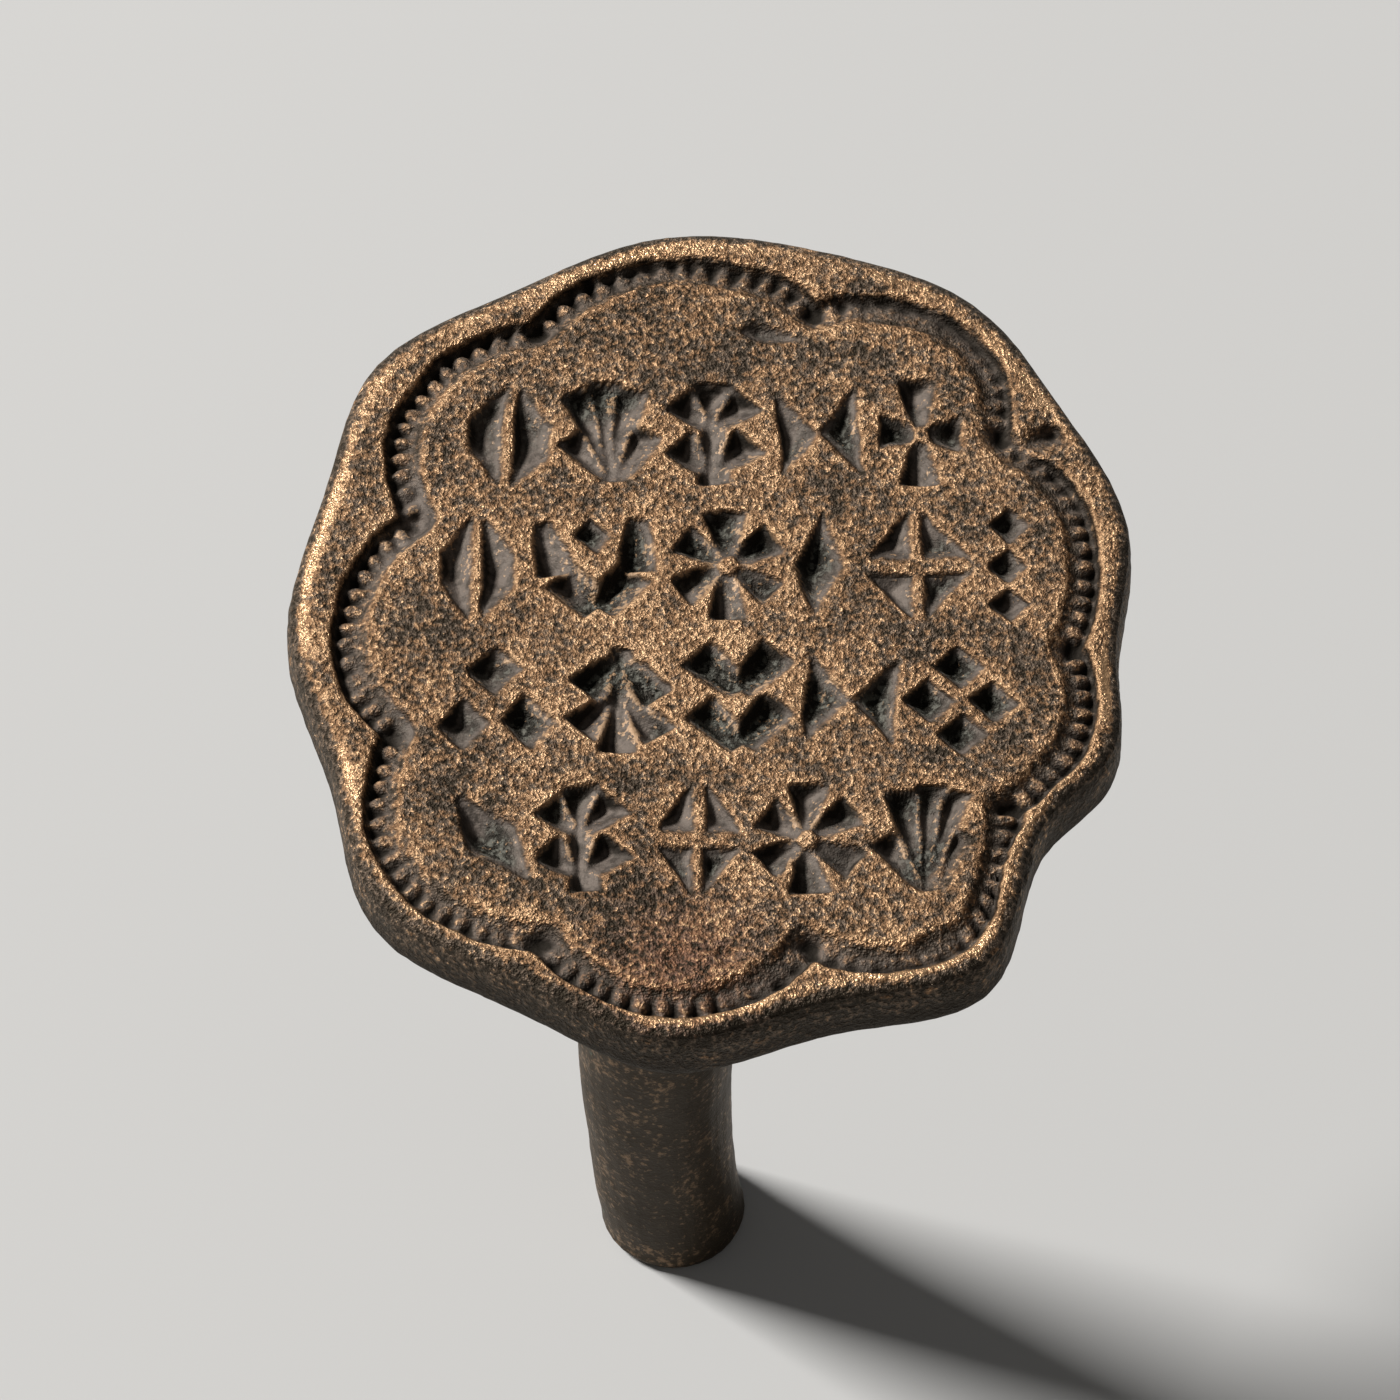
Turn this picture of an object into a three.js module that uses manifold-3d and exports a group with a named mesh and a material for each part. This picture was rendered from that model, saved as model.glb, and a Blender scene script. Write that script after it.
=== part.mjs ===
// A cast bronze trade seal. A scalloped die plate is cut with four rows of marks inside a beaded
// border, and a slightly bowed round shank is brazed into a socket in its back.
// Millimetres, +Z up. The seal stands on the flat foot of its shank with its die face up. The
// origin is the middle of the foot, and the top of the die reads the right way up towards +Y.

import * as THREE from "three";
import { ConvexGeometry } from "three/addons/geometries/ConvexGeometry.js";
import { mergeVertices } from "three/addons/utils/BufferGeometryUtils.js";
import Module from "manifold-3d";

// Shank, from its foot up to the shoulder that seats on the plate's boss
const shankLength = 48.4;
const footRadius = 3.75;
const footEdge = 0.5; // rounding of the foot's rim
const waistRadius = 3.66;
const waistHeight = 6;
const rootRadius = 4.8;
const bow = 0.88; // how far the worn shank has bent to -X
const shankSides = 32;
const shankRings = 14;

// Tenon of the shank, and the socket that it stands in
const tenonRadius = 2.7;
const tenonLength = 2.7;
const tenonChamfer = 0.3;
const tenonClearance = 0.12;
const socketFloorGap = 0.3;

// Braze that fills the corner between boss and shank
const brazeWidth = 1.1;
const brazeHeight = 1.7;
const brazeToe = 0.15; // thickness of its lower edge
const brazeGap = 0.1;
const brazeSteps = 4;

// Die plate
const plateThickness = 4.2;
const plateShift = 1.6; // the plate was set a little to +X of the shank
const borderRadius = 19; // mean radius of the line that the border channel follows
const rimWidth = 2.6; // from that line to the plate's outline, where a foil is widest
const bossRadius = 7.4;
const bossSpread = 1.3; // how much wider the boss is where it grows out of the plate
const bossHeight = 1.4;
const bossRooting = 0.5; // how far the boss runs up inside the plate that it is cast with

// Rounding of the plate's edge: how far in from the outline, and how far down or up
const faceEdge = { inset: 1.2, drop: 1.3 };
const backEdge = { inset: 1, drop: 1.3 };
const edgeSteps = 4;

// Scalloped border channel, sunk in the face
const channelDepth = 0.9;
const channelOuter = 0.85; // from the channel's line to its outer lip
const channelOuterSlope = 0.2; // the outer wall is steep
const channelInner = 0.95;
const channelInnerSlope = 0.8; // the inner wall is an easier slope
const stepsPerFoil = 12;
const cornerSides = 12;

// Beads along the channel's floor, like short bars laid across it
const beadPitch = 1;
const beadAcross = 0.72; // half the length of a bead across the channel
const beadAlong = 0.43;
const beadHeight = 0.55;
const beadOffset = -0.08; // beads sit a little nearer the inner wall
const beadSides = 6;
const beadRings = 4;

// Rows of marks: their heights on the face, and how deep the graver went
const rowHeight = 6.7;
const rowPitch = 7.8;
const topRow = 11.2;
const stroke = 2.2; // width of a full cut at the surface
const cutSlope = 0.5; // depth of a cut for each millimetre of its width
const endSlope = 0.25; // how far the cut's end runs in for each millimetre of its width
const overcut = 0.4; // how far above the face every cutting solid begins

// The graver was held leaning, so the side of each cut that lies this way is the steep one
const leanWay = new THREE.Vector2(-0.8, 0.6);
const keelShare = 0.26; // how far the bottom of a cut lies that way, as a share of its width
const pointShare = 0.65; // and that of a sinking, as a share of the way to its nearest side
const sinkSlope = 1.2; // its depth for each millimetre of that way, up to that of a full cut

// One foil for each line, anticlockwise from +X. `at` is the angle of the cusp where the foil
// starts. `cusp` and `belly` say how far out the channel's line stands at that cusp and in the
// middle of the foil, in shares of borderRadius. `rimAtCusp` and `rimAtBelly` say how much further
// the plate reaches there, in shares of rimWidth.
const foils = [
  { at: -3.5, cusp: 0.903, belly: 0.995, rimAtCusp: 1.04, rimAtBelly: 0.98 },
  { at: 38, cusp: 0.947, belly: 1.108, rimAtCusp: 1.5, rimAtBelly: 0.94 },
  { at: 74, cusp: 1.005, belly: 1.113, rimAtCusp: 1.64, rimAtBelly: 0.94 },
  { at: 115, cusp: 1.003, belly: 1.013, rimAtCusp: 1.26, rimAtBelly: 1.26 },
  { at: 156, cusp: 0.789, belly: 0.895, rimAtCusp: 2.02, rimAtBelly: 1.18 },
  { at: 203, cusp: 0.829, belly: 1.053, rimAtCusp: 1.42, rimAtBelly: 0.78 },
  { at: 246.7, cusp: 1.005, belly: 1.124, rimAtCusp: 1.06, rimAtBelly: 0.78 },
  { at: 285, cusp: 0.974, belly: 1.118, rimAtCusp: 1.36, rimAtBelly: 0.78 },
  { at: 324.7, cusp: 0.932, belly: 0.984, rimAtCusp: 0.78, rimAtBelly: 0.82 },
];

// The marks of each row: kind, place along the row and width, both in row heights, and lean in
// degrees. They are plain ornaments that spell nothing.
const rows = [
  [
    ["leaf", -1.4, 0.64, -4],
    ["fan", -0.68, 0.64, 3],
    ["ear", 0.08, 0.68, -1],
    ["bow", 0.83, 0.6, 4],
    ["cross", 1.54, 0.64, 0],
  ],
  [
    ["leaf", -1.61, 0.57, -3],
    ["crescent", -0.78, 0.82, 4],
    ["star", 0.16, 0.84, 0],
    ["spindle", 0.82, 0.4, -2],
    ["lozenge", 1.54, 0.76, 2],
    ["pellets", 2.17, 0.34, 0],
  ],
  [
    ["buds", -1.48, 0.86, 2],
    ["fir", -0.6, 0.78, -3],
    ["chevrons", 0.24, 0.78, 2],
    ["bow", 1.03, 0.66, -4],
    ["quatrefoil", 1.83, 0.84, 0],
  ],
  [
    ["spindle", -1.48, 0.46, 34],
    ["ear", -0.86, 0.68, 2],
    ["lozenge", -0.04, 0.66, -2],
    ["star", 0.74, 0.8, 0],
    ["fan", 1.59, 0.76, -2],
  ],
];

// Wear: the dent of a slip of the graver above the rows, and a nick that was struck across the
// rim. Places are an angle and a share of borderRadius.
const slip = { corners: [[86, 0.922], [81.5, 0.882], [73, 0.925], [81.5, 0.96]], depth: 0.75 };
const nick = { from: [34.6, 0.98], to: [32.4, 1.19], startWidth: 1, endWidth: 2.8, slope: 0.42 };

const bronze = new THREE.MeshStandardMaterial({ color: 0x8c6a4c, roughness: 0.5, metalness: 0.85 });
const darkBronze = new THREE.MeshStandardMaterial({ color: 0x3c342c, roughness: 0.5, metalness: 0.8 });
const braze = new THREE.MeshStandardMaterial({ color: 0x4a3f33, roughness: 0.65, metalness: 0.7 });

const wasm = await Module();
wasm.setup();

// A closed geometry as a solid that can be joined and cut
function solidOf(geometry) {
  const bare = geometry.clone();
  bare.deleteAttribute("normal");
  bare.deleteAttribute("uv");
  const merged = mergeVertices(bare, 1e-4);
  return new wasm.Manifold(
    new wasm.Mesh({
      numProp: 3,
      vertProperties: merged.attributes.position.array,
      triVerts: new Uint32Array(merged.index.array),
    }),
  );
}

function geometryOf(solid) {
  const mesh = solid.getMesh();
  const geometry = new THREE.BufferGeometry();
  geometry.setAttribute("position", new THREE.BufferAttribute(mesh.vertProperties, 3));
  geometry.setIndex(new THREE.BufferAttribute(mesh.triVerts, 1));
  geometry.computeVertexNormals();
  return geometry;
}

function joined(solids) {
  return solids.reduce((whole, solid) => whole.add(solid));
}

// A closed solid through rings of points that all run the same way round
function loft(rings, capIndex) {
  const count = rings[0].length;
  const positions = rings.flat().flatMap((point) => [point.x, point.y, point.z]);
  const index = [];
  for (let ring = 0; ring + 1 < rings.length; ring++) {
    for (let i = 0; i < count; i++) {
      const here = ring * count + i;
      const beside = ring * count + ((i + 1) % count);
      index.push(here, here + count, beside);
      index.push(beside, here + count, beside + count);
    }
  }
  const last = (rings.length - 1) * count;
  capIndex.forEach(([a, b, c]) => {
    index.push(a, b, c);
    index.push(last + a, last + c, last + b);
  });
  const geometry = new THREE.BufferGeometry();
  geometry.setAttribute("position", new THREE.Float32BufferAttribute(positions, 3));
  geometry.setIndex(index);
  return solidOf(geometry);
}

function polar(degrees, radius) {
  const angle = THREE.MathUtils.degToRad(degrees);
  return new THREE.Vector2(Math.cos(angle) * radius, Math.sin(angle) * radius);
}

// Each foil in millimetres, with the angles of its middle and of its end
const placedFoils = foils.map((foil, i) => {
  const next = foils[(i + 1) % foils.length];
  const end = next.at + (i + 1 === foils.length ? 360 : 0);
  return {
    at: foil.at,
    middle: (foil.at + end) / 2,
    end,
    cusp: foil.cusp * borderRadius,
    belly: foil.belly * borderRadius,
    endCusp: next.cusp * borderRadius,
    outlineAtCusp: foil.cusp * borderRadius + foil.rimAtCusp * rimWidth,
    outlineAtBelly: foil.belly * borderRadius + foil.rimAtBelly * rimWidth,
  };
});

// Points of the circular arc from a to c by way of b, with the way out from the arc's centre
function arcThrough(a, b, c, steps) {
  const slope = 2 * (a.x * (b.y - c.y) + b.x * (c.y - a.y) + c.x * (a.y - b.y));
  const [a2, b2, c2] = [a.lengthSq(), b.lengthSq(), c.lengthSq()];
  const centre = new THREE.Vector2(
    (a2 * (b.y - c.y) + b2 * (c.y - a.y) + c2 * (a.y - b.y)) / slope,
    (a2 * (c.x - b.x) + b2 * (a.x - c.x) + c2 * (b.x - a.x)) / slope,
  );
  const radius = centre.distanceTo(a);
  const start = Math.atan2(a.y - centre.y, a.x - centre.x);
  let turn = Math.atan2(c.y - centre.y, c.x - centre.x) - start;
  if (turn < 0) turn += 2 * Math.PI;
  return Array.from({ length: steps + 1 }, (_, i) => {
    const angle = start + (turn * i) / steps;
    const out = new THREE.Vector2(Math.cos(angle), Math.sin(angle));
    const point = centre.clone().addScaledVector(out, radius);
    return { point, out, travelled: (turn * radius * i) / steps };
  });
}

function foilArc(foil, steps) {
  return arcThrough(
    polar(foil.at, foil.cusp),
    polar(foil.middle, foil.belly),
    polar(foil.end, foil.endCusp),
    steps,
  );
}

// The plate's outline: a smooth wave through its dips, behind the cusps, and its bellies
function plateOutline() {
  const knots = placedFoils.flatMap((foil) => [
    polar(foil.at, foil.outlineAtCusp),
    polar(foil.middle, foil.outlineAtBelly),
  ]);
  const wave = new THREE.CatmullRomCurve3(
    knots.map((knot) => new THREE.Vector3(knot.x, knot.y, 0)),
    true,
    "centripetal",
  );
  return wave.getPoints(foils.length * stepsPerFoil).slice(0, -1);
}

// The plate's edge from the face down to the back, as places in from the outline and down: a
// quarter of an ellipse at each side
function edgeProfile() {
  const quarter = Array.from({ length: edgeSteps + 1 }, (_, i) => (i * Math.PI) / (2 * edgeSteps));
  const upper = quarter.map((angle) => ({
    inset: faceEdge.inset * (1 - Math.sin(angle)),
    down: faceEdge.drop * (1 - Math.cos(angle)),
  }));
  const lower = quarter.map((angle) => ({
    inset: backEdge.inset * (1 - Math.cos(angle)),
    down: plateThickness - backEdge.drop * (1 - Math.sin(angle)),
  }));
  return [...upper, ...lower];
}

function plateBlank() {
  const outline = plateOutline();
  const rings = edgeProfile().map(({ inset, down }) =>
    outline.map((point) => {
      const reach = point.length();
      return point.clone().multiplyScalar((reach - inset) / reach).setZ(-down);
    }),
  );
  const cap = THREE.ShapeUtils.triangulateShape(
    outline.map((point) => new THREE.Vector2(point.x, point.y)),
    [],
  );
  const bossProfile = [
    [0, -bossHeight],
    [bossRadius, -bossHeight],
    [bossRadius + bossSpread, 0],
    [bossRadius + bossSpread, bossRooting],
    [0, bossRooting],
  ].map(([radius, height]) => new THREE.Vector2(radius, height));
  const boss = new THREE.LatheGeometry(bossProfile, shankSides * 2);
  boss.rotateX(Math.PI / 2);
  boss.translate(-plateShift, 0, -plateThickness);
  return loft(rings, cap).add(solidOf(boss));
}

function socketCutter() {
  const floor = tenonLength + socketFloorGap - bossHeight - plateThickness;
  const start = -plateThickness - bossHeight - overcut;
  const radius = tenonRadius + tenonClearance;
  const hole = new THREE.CylinderGeometry(radius, radius, floor - start, shankSides);
  hole.rotateX(Math.PI / 2);
  hole.translate(-plateShift, 0, (floor + start) / 2);
  return solidOf(hole);
}

// The scalloped channel: one swept cut for each foil, and a round one where two foils meet
function channelCutter() {
  const grow = overcut / channelDepth;
  const section = [
    [-channelInner - channelInnerSlope * grow, overcut],
    [-channelInner + channelInnerSlope, -channelDepth],
    [channelOuter - channelOuterSlope, -channelDepth],
    [channelOuter + channelOuterSlope * grow, overcut],
  ];
  const sectionCap = [
    [0, 1, 2],
    [0, 2, 3],
  ];
  const cuts = placedFoils.flatMap((foil) => {
    const rings = foilArc(foil, stepsPerFoil).map(({ point, out }) =>
      section.map(([offset, z]) => {
        const place = point.clone().addScaledVector(out, offset);
        return new THREE.Vector3(place.x, place.y, z);
      }),
    );
    const corner = new THREE.CylinderGeometry(
      channelInner + channelInnerSlope * grow,
      channelInner - channelInnerSlope,
      channelDepth + overcut,
      cornerSides,
    );
    const cusp = polar(foil.at, foil.cusp);
    corner.rotateX(Math.PI / 2);
    corner.translate(cusp.x, cusp.y, (overcut - channelDepth) / 2);
    return [loft(rings, sectionCap), solidOf(corner)];
  });
  return joined(cuts);
}

// Beads on the channel's floor, spaced evenly along each foil
function beads() {
  const dome = new THREE.SphereGeometry(1, beadSides, beadRings);
  dome.rotateX(Math.PI / 2);
  dome.scale(beadAcross, beadAlong, beadHeight);
  const solids = placedFoils.flatMap((foil) => {
    const length = foilArc(foil, 1)[1].travelled;
    const count = Math.round(length / beadPitch) - 1;
    return foilArc(foil, count + 1)
      .slice(1, -1)
      .map(({ point, out }) => {
        const place = point.clone().addScaledVector(out, beadOffset);
        const bead = dome.clone();
        bead.rotateZ(Math.atan2(out.y, out.x));
        bead.translate(place.x, place.y, -channelDepth);
        return solidOf(bead);
      });
  });
  return joined(solids);
}

// A straight line from the bottom of a cut through a point of its lip, as far up as the overcut
function raised(bottom, lip) {
  return lip.clone().addScaledVector(lip.clone().sub(bottom), overcut / -bottom.z);
}

// One pass of the graver: a cut from one point to another, as wide as asked at each end
function graverCut(from, to, widthFrom, widthTo, slope = cutSlope) {
  const along = to.clone().sub(from).normalize();
  const across = new THREE.Vector2(-along.y, along.x);
  const end = (point, width, inward) => {
    const keel = point
      .clone()
      .addScaledVector(along, inward * width * endSlope)
      .addScaledVector(across, across.dot(leanWay) * width * keelShare);
    const bottom = new THREE.Vector3(keel.x, keel.y, -width * slope);
    const lips = [-1, 1].map((side) => {
      const lip = point.clone().addScaledVector(across, (side * width) / 2);
      return new THREE.Vector3(lip.x, lip.y, 0);
    });
    return [bottom, ...lips.map((lip) => raised(bottom, lip))];
  };
  return solidOf(new ConvexGeometry([...end(from, widthFrom, 1), ...end(to, widthTo, -1)]));
}

// How far a point is from the nearest side of the shape with these corners
function nearestSide(point, corners) {
  const ways = corners.map((corner, i) => {
    const side = corners[(i + 1) % corners.length].clone().sub(corner).normalize();
    return Math.abs(side.cross(point.clone().sub(corner)));
  });
  return Math.min(...ways);
}

// A sinking with straight sides that run down to one point near its middle
function punchCut(corners, mostDepth = stroke * cutSlope) {
  const middle = corners
    .reduce((sum, corner) => sum.add(corner), new THREE.Vector2())
    .divideScalar(corners.length);
  const reach = nearestSide(middle, corners);
  const keel = middle.addScaledVector(leanWay, reach * pointShare);
  const bottom = new THREE.Vector3(keel.x, keel.y, -Math.min(mostDepth, reach * sinkSlope));
  const lips = corners.map((corner) => new THREE.Vector3(corner.x, corner.y, 0));
  return solidOf(new ConvexGeometry([bottom, ...lips.map((lip) => raised(bottom, lip))]));
}

// The ornaments, in a box from -0.5 to 0.5 each way. A line is [x, y, x, y, width, width], with
// the widths as shares of a full stroke, and a sinking is a list of its corners.
const mirrored = (lines) =>
  lines.flatMap(([x1, y1, x2, y2, ...widths]) => [
    [x1, y1, x2, y2, ...widths],
    [-x1, y1, -x2, y2, ...widths],
  ]);
const diamond = (x, y, wide, high) => [
  [x - wide, y],
  [x, y - high],
  [x + wide, y],
  [x, y + high],
];
const rayStart = 0.16;
const rayWidths = [0.35, 0.95];
const rays = (count, turn, reach) =>
  Array.from({ length: count }, (_, i) => {
    const tip = polar(turn + (360 * i) / count, reach);
    return [tip.x * rayStart, tip.y * rayStart, tip.x, tip.y, ...rayWidths];
  });
const ornaments = {
  leaf: {
    sinkings: [-1, 1].map((side) => [
      [0.05 * side, 0.48],
      [0.5 * side, 0.12],
      [0.46 * side, -0.2],
      [0.05 * side, -0.52],
    ]),
  },
  fan: {
    lines: [
      ...mirrored([
        [-0.04, -0.42, -0.44, 0.02, 0.4, 0.9],
        [-0.03, -0.38, -0.27, 0.4, 0.4, 0.95],
      ]),
      [0, -0.44, 0, 0.46, 0.6, 0.85],
    ],
  },
  ear: {
    lines: [
      [0, -0.46, 0, 0.2, 0.8, 0.6],
      [0, 0.12, 0, 0.46, 0.5, 1],
      ...mirrored([
        [0.04, -0.3, 0.4, -0.06, 0.5, 1],
        [0.04, 0.06, 0.38, 0.32, 0.5, 1],
      ]),
    ],
  },
  bow: {
    sinkings: [
      [[-0.5, 0.42], [-0.5, -0.42], [0.04, 0]],
      [[0.5, 0.42], [-0.04, 0], [0.5, -0.42]],
    ],
  },
  cross: { lines: rays(4, 90, 0.46) },
  star: { lines: rays(6, 90, 0.46) },
  lozenge: {
    sinkings: [-1, 1].flatMap((right) =>
      [-1, 1].map((up) => [
        [0.04 * right, 0.04 * up],
        [0.52 * right, 0.04 * up],
        [0.04 * right, 0.52 * up],
      ]),
    ),
  },
  crescent: {
    lines: mirrored([
      [-0.4, 0.4, -0.34, -0.06, 0.5, 1],
      [-0.34, -0.06, 0, -0.36, 1, 1],
    ]),
    sinkings: [diamond(0, 0.26, 0.17, 0.18)],
  },
  spindle: { sinkings: [diamond(0, 0, 0.48, 0.5)] },
  pellets: { sinkings: [0.34, 0, -0.34].map((y) => diamond(0, y, 0.5, 0.17)) },
  quatrefoil: {
    sinkings: [
      ...[-0.28, 0.28].map((x) => diamond(x, 0, 0.25, 0.21)),
      ...[-0.29, 0.29].map((y) => diamond(0, y, 0.25, 0.21)),
    ],
  },
  buds: {
    sinkings: [
      diamond(0, 0.25, 0.26, 0.23),
      ...[-0.27, 0.27].map((x) => diamond(x, -0.2, 0.24, 0.26)),
    ],
  },
  fir: {
    lines: [
      [0, 0.46, 0, -0.46, 0.5, 1],
      ...mirrored([
        [0.02, 0.36, 0.34, 0.04, 0.5, 1],
        [0.02, 0.04, 0.38, -0.28, 0.5, 1],
      ]),
    ],
  },
  chevrons: {
    lines: mirrored([
      [-0.38, 0.42, 0, 0.1, 1, 0.7],
      [-0.38, -0.02, 0, -0.36, 1, 0.7],
    ]),
  },
};

// Cuts of one ornament, set at its place in its row
function markCuts([kind, x, width, lean], y) {
  const origin = new THREE.Vector2();
  const middle = new THREE.Vector2(x * rowHeight, y);
  const turn = THREE.MathUtils.degToRad(lean);
  const place = (u, v) =>
    new THREE.Vector2(u * width, v).multiplyScalar(rowHeight).rotateAround(origin, turn).add(middle);
  const { lines = [], sinkings = [] } = ornaments[kind];
  return [
    ...lines.map(([x1, y1, x2, y2, from, to]) =>
      graverCut(place(x1, y1), place(x2, y2), from * stroke, to * stroke),
    ),
    ...sinkings.map((corners) => punchCut(corners.map(([u, v]) => place(u, v)))),
  ];
}

function wearCuts() {
  const place = ([degrees, share]) => polar(degrees, share * borderRadius);
  return [
    punchCut(slip.corners.map(place), slip.depth),
    graverCut(place(nick.from), place(nick.to), nick.startWidth, nick.endWidth, nick.slope),
  ];
}

function diePlate() {
  const marks = rows.flatMap((row, i) => {
    const y = topRow - i * rowPitch;
    return row.flatMap((mark) => markCuts(mark, y));
  });
  const solid = plateBlank()
    .subtract(channelCutter())
    .add(beads())
    .subtract(joined([...marks, ...wearCuts()]))
    .subtract(socketCutter());
  const plate = new THREE.Mesh(geometryOf(solid), bronze);
  plate.name = "die_plate";
  plate.position.set(plateShift, 0, shankLength + bossHeight + plateThickness);
  return plate;
}

// Where the middle of the bowed shank stands at a height: straight above the foot at both ends,
// square to the plate at its root, and furthest out a third of the way up
function shankBend(height) {
  const share = THREE.MathUtils.clamp(height / shankLength, 0, 1);
  const peak = 4 / 27; // of share * (1 - share) squared
  return (-bow * share * (1 - share) ** 2) / peak;
}

function shankRadius(height) {
  if (height < waistHeight) {
    return waistRadius + (footRadius - waistRadius) * (1 - height / waistHeight) ** 2;
  }
  const share = (height - waistHeight) / (shankLength - waistHeight);
  return waistRadius + (rootRadius - waistRadius) * share;
}

function bent(geometry) {
  const position = geometry.getAttribute("position");
  for (let i = 0; i < position.count; i++) {
    position.setX(i, position.getX(i) + shankBend(position.getZ(i)));
  }
  return geometry;
}

// A profile of (radius, height) points turned about Z, then bent with the shank
function turned(profile) {
  const points = profile.map(([radius, height]) => new THREE.Vector2(radius, height));
  const geometry = new THREE.LatheGeometry(points, shankSides);
  geometry.rotateX(Math.PI / 2);
  return bent(geometry);
}

function shank() {
  const foot = [0, 0.5, 1].map((share) => {
    const angle = (share * Math.PI) / 2;
    const height = footEdge * (1 - Math.cos(angle));
    return [shankRadius(footEdge) - footEdge * (1 - Math.sin(angle)), height];
  });
  const shaft = Array.from({ length: shankRings }, (_, i) => {
    const height = footEdge + ((shankLength - footEdge) * (i + 1)) / shankRings;
    return [shankRadius(height), height];
  });
  const tenonTop = shankLength + tenonLength;
  const solid = solidOf(
    turned([
      [0, 0],
      ...foot,
      ...shaft,
      [tenonRadius, shankLength],
      [tenonRadius, tenonTop - tenonChamfer],
      [tenonRadius - tenonChamfer, tenonTop],
      [0, tenonTop],
    ]),
  );
  const mesh = new THREE.Mesh(geometryOf(solid), darkBronze);
  mesh.name = "shank";
  return mesh;
}

// A ring with a hollow slope, against the boss on top and round the shank inside
function brazeFillet() {
  const slope = Array.from({ length: brazeSteps + 1 }, (_, i) => {
    const share = i / brazeSteps;
    const height = shankLength - brazeHeight * (1 - share);
    const width = brazeToe + (brazeWidth - brazeToe) * share ** 2;
    return [shankRadius(height) + brazeGap + width, height];
  });
  const inside = slope.map(([, height]) => [shankRadius(height) + brazeGap, height]).reverse();
  const solid = solidOf(turned([...slope, ...inside, slope[0]]));
  const mesh = new THREE.Mesh(geometryOf(solid), braze);
  mesh.name = "braze_fillet";
  return mesh;
}

const seal = new THREE.Group();
seal.add(diePlate(), shank(), brazeFillet());

export default seal;
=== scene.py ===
"""A worn bronze seal that stands on its shank, dressed over the frame's three pieces.

Metres, +Z up, in the frame's own axes. Each piece is one closed mesh that takes its form from the
solid it stands for, and adds the cast grain, dents and rubbed edges that show from close by.
"""

import math

import bpy
import numpy as np
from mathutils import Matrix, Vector
from mathutils.bvhtree import BVHTree


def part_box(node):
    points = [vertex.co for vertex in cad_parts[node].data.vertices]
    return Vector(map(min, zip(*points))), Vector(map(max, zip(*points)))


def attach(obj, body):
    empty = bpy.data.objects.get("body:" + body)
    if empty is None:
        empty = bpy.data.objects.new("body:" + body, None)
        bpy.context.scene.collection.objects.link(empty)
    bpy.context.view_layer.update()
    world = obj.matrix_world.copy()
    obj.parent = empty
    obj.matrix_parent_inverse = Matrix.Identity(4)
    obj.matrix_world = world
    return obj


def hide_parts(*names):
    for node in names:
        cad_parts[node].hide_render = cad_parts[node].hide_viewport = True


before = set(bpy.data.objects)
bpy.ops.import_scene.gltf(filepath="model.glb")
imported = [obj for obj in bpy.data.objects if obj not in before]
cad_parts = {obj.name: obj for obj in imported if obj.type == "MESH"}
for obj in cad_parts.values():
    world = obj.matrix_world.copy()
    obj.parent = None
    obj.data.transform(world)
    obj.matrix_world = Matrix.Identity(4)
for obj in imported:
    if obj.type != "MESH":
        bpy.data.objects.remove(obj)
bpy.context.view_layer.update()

MM = 0.001
TURN = 2 * math.pi

FAR = 60 * MM  # past every side of the seal, where rays start
HAIR = 0.01 * MM  # at a solid's own end, rays are cast this far inside it
UP, DOWN = Vector((0, 0, 1)), Vector((0, 0, -1))
NOISE_CELLS = 64

# The camera of the photograph: a long lens, 34 degrees off the face's normal
CAMERA_PLACE = (1.36 * MM, -283.2 * MM, 467.3 * MM)
CAMERA_TILT = 34
CAMERA_LENS = 270
CAMERA_SENSOR = 36
CAMERA_NEAR, CAMERA_FAR = 0.01, 20

# The studio, with the place, size and power of each lamp
LAMPS = {"key": ((-1.68, 0.8, 1.53), 0.6, 86), "fill": ((2.0, -1.4, 1.85), 2.0, 2)}
LAMP_AIM = Vector((0, 0, 0.05))
SKY_COLOUR, SKY_STRENGTH = (1, 1, 1, 1), 0.08
FLOOR_REACH = 3.0
FLOOR_COLOUR, FLOOR_ROUGHNESS = (0.62, 0.61, 0.59, 1), 0.9

# The grids that the die face is made from
RASTER_PITCH = 0.08 * MM
RASTER_MARGIN = 4  # steps of the raster that lie outside the plate on each side
FACE_CELLS = 272  # along each side of the face's grid
FACE_INSET = 0.25 * MM  # from the plate's widest outline to the edge of that grid
WIDEST_DROP = 1.5 * MM  # how far below the face the outline is widest

# The rim, from the widest outline in
RIM_LEAST = 1.05 * MM  # where the solid leaves a thinner rim than this, the channel moves in
RIM_PROBE, RIM_PROBE_STEP = 0.25 * MM, 0.05 * MM  # where its thickness is tried first, and how finely
RIM_LOST = 0.25 * MM  # the rim has ended where it is this far below its round edge
MOVE_SPREAD = math.radians(1.5)  # how far each way along the rim the move is spread out
MOVE_WHOLE, MOVE_NONE = 2.6 * MM, 5.5 * MM  # the move fades out between these insets
MOVE_SEEN = 0.02 * MM  # a smaller move leaves the rim as it is
ROLL_WIDTH = 1.2 * MM  # width of the rim's round outer edge
ROLL_FROM, ROLL_TO = 0.45 * MM, 1.0 * MM  # the rolled edge gives way to the rest between these
OUTSIDE_FROM, OUTSIDE_TO = 0.3 * MM, 1.0 * MM  # and the darker outside to the rest
CREST_INSET, CREST_WIDTH = 1.0 * MM, 0.35 * MM  # where hands polished the rim

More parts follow.
